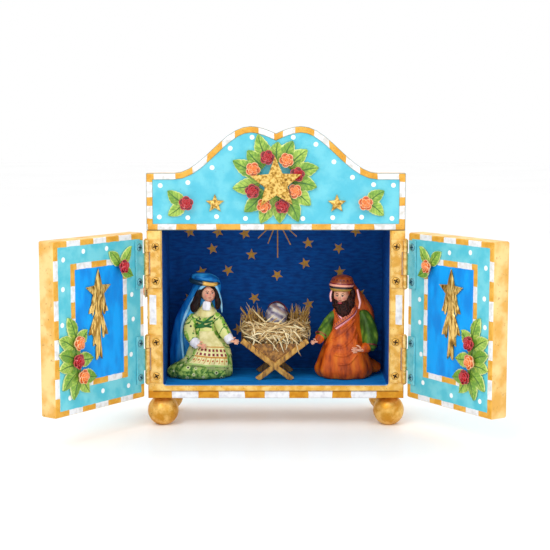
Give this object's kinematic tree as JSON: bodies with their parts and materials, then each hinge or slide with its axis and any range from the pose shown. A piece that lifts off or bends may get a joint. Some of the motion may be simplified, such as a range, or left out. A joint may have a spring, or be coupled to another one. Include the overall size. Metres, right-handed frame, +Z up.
{
  "type": "retablo",
  "caption": "Small painted nativity box on ball feet, with a curved crest and hinged doors; inside kneel a woman and a bearded man beside a manger with straw and a swaddled baby.",
  "frame": {"origin": "on the table under the middle of the whole object, doors open as shown", "axes": "+Z up, the front faces -Y, +X to the right as seen from the front"},
  "size_m": [0.3386, 0.1643, 0.235],
  "materials": {
    "case_wood": "gilded and painted wood",
    "painted_board": "satin turquoise paint",
    "gilded_wood": "gold leaf on wood",
    "hinge_metal": "gold paint, worn dark at the edges",
    "leaf_resin": "hand-painted resin",
    "red_resin": "painted resin with a pale glaze",
    "orange_resin": "painted resin with a pale glaze",
    "antique_gold": "antique gold leaf over resin",
    "blue_resin": "hand-painted resin",
    "robe_resin": "hand-painted resin",
    "manger_wood": "stained wood with gold edges",
    "straw": "dry loose straw",
    "linen_resin": "hand-painted resin"
  },
  "bodies": {
    "case": {"case": "case_wood", "crest": "painted_board", "foot_front_left": "gilded_wood", "foot_front_right": "gilded_wood", "foot_rear_left": "gilded_wood", "foot_rear_right": "gilded_wood", "left_upper_hinge_case_leaf": "hinge_metal", "left_upper_hinge_pin": "hinge_metal", "left_lower_hinge_case_leaf": "hinge_metal", "left_lower_hinge_pin": "hinge_metal", "right_upper_hinge_case_leaf": "hinge_metal", "right_upper_hinge_pin": "hinge_metal", "right_lower_hinge_case_leaf": "hinge_metal", "right_lower_hinge_pin": "hinge_metal", "wreath_leaves": "leaf_resin", "wreath_rose_1": "red_resin", "wreath_rose_2": "orange_resin", "wreath_rose_3": "red_resin", "wreath_rose_4": "orange_resin", "wreath_rose_5": "red_resin", "wreath_rose_6": "orange_resin", "wreath_rose_7": "red_resin", "wreath_rose_8": "orange_resin", "wreath_star": "antique_gold", "crest_star_left": "antique_gold", "crest_star_right": "antique_gold", "crest_leaves_left": "leaf_resin", "crest_leaves_right": "leaf_resin", "crest_rose_left": "red_resin", "crest_rose_right": "orange_resin", "side_leaves": "leaf_resin", "side_rose_1": "red_resin", "side_rose_2": "orange_resin", "woman": "blue_resin", "man": "robe_resin", "manger": "manger_wood", "straw": "straw", "baby": "linen_resin"},
    "left_door": {"door_left": "painted_board", "left_upper_hinge_door_leaf": "hinge_metal", "left_lower_hinge_door_leaf": "hinge_metal", "left_door_comet": "antique_gold", "left_door_corner_leaves": "leaf_resin", "left_door_corner_rose": "red_resin", "left_door_spray_leaves": "leaf_resin", "left_door_spray_rose_1": "orange_resin", "left_door_spray_rose_2": "red_resin", "left_door_spray_rose_3": "orange_resin"},
    "right_door": {"door_right": "painted_board", "right_upper_hinge_door_leaf": "hinge_metal", "right_lower_hinge_door_leaf": "hinge_metal", "right_door_comet": "antique_gold", "right_door_corner_leaves": "leaf_resin", "right_door_corner_rose": "orange_resin", "right_door_spray_leaves": "leaf_resin", "right_door_spray_rose_1": "red_resin", "right_door_spray_rose_2": "orange_resin", "right_door_spray_rose_3": "red_resin"}
  },
  "joints": [
    {"name": "left_door_hinge", "type": "hinge", "parent": "case", "child": "left_door", "pos_m": [-0.1, 0.00019, 0.08915], "axis": [0, 0, 1], "range_deg": [-54.8, 125.2]},
    {"name": "right_door_hinge", "type": "hinge", "parent": "case", "child": "right_door", "pos_m": [0.1, 0.00019, 0.08915], "axis": [0, 0, 1], "range_deg": [-122.5, 57.5]}
  ]
}
